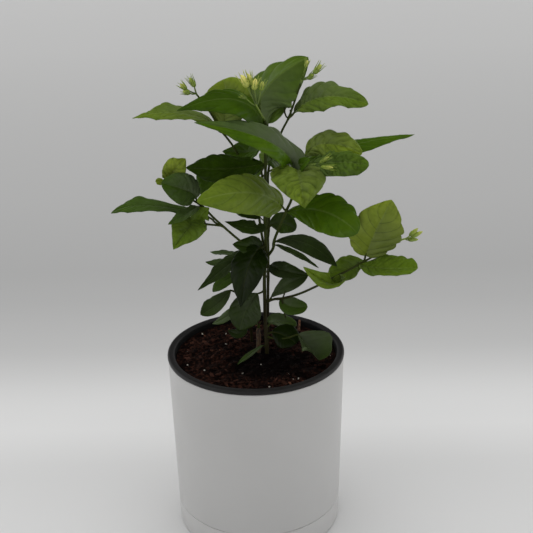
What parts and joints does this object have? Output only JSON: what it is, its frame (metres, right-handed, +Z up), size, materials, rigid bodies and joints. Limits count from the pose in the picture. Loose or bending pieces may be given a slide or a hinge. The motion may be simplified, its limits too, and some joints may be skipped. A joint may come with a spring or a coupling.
{
  "type": "potted jasmine",
  "caption": "Young bushy jasmine with glossy crinkled leaves and small sprays of buds, in a black grower's pot held by a tall white planter that stands on its water tray.",
  "frame": {"origin": "centre of the water tray's flat underside, on the surface it stands on", "axes": "+Z up along the planter's axis, -Y towards the plant's front, +X to the right seen from the front"},
  "size_m": [0.2651, 0.1761, 0.4328],
  "materials": {
    "tray_plastic": "satin",
    "planter_plastic": "satin",
    "nursery_pot_plastic": "satin",
    "soil": "loose peat and bark crumbs, matte",
    "bark": "rough",
    "leaf_centre": "glossy leaf skin",
    "leaf_low_left": "glossy leaf skin",
    "leaf_back": "glossy leaf skin",
    "bud_centre": "soft matte bud skin",
    "bud_top_right": "soft matte bud skin",
    "bud_top_left": "soft matte bud skin",
    "bud_right": "soft matte bud skin",
    "bud_low_right": "soft matte bud skin"
  },
  "bodies": {
    "root": {"water_tray": "tray_plastic", "planter": "planter_plastic", "nursery_pot": "nursery_pot_plastic", "potting_soil": "soil", "cutting_stump": "bark", "leafy_stem_centre": "leaf_centre", "leafy_stem_low_left": "leaf_low_left", "leafy_stem_back": "leaf_back", "bud_spray_centre": "bud_centre", "bud_spray_top_right": "bud_top_right", "bud_spray_top_left": "bud_top_left", "bud_spray_right": "bud_right", "bud_spray_low_right": "bud_low_right"}
  },
  "joints": []
}
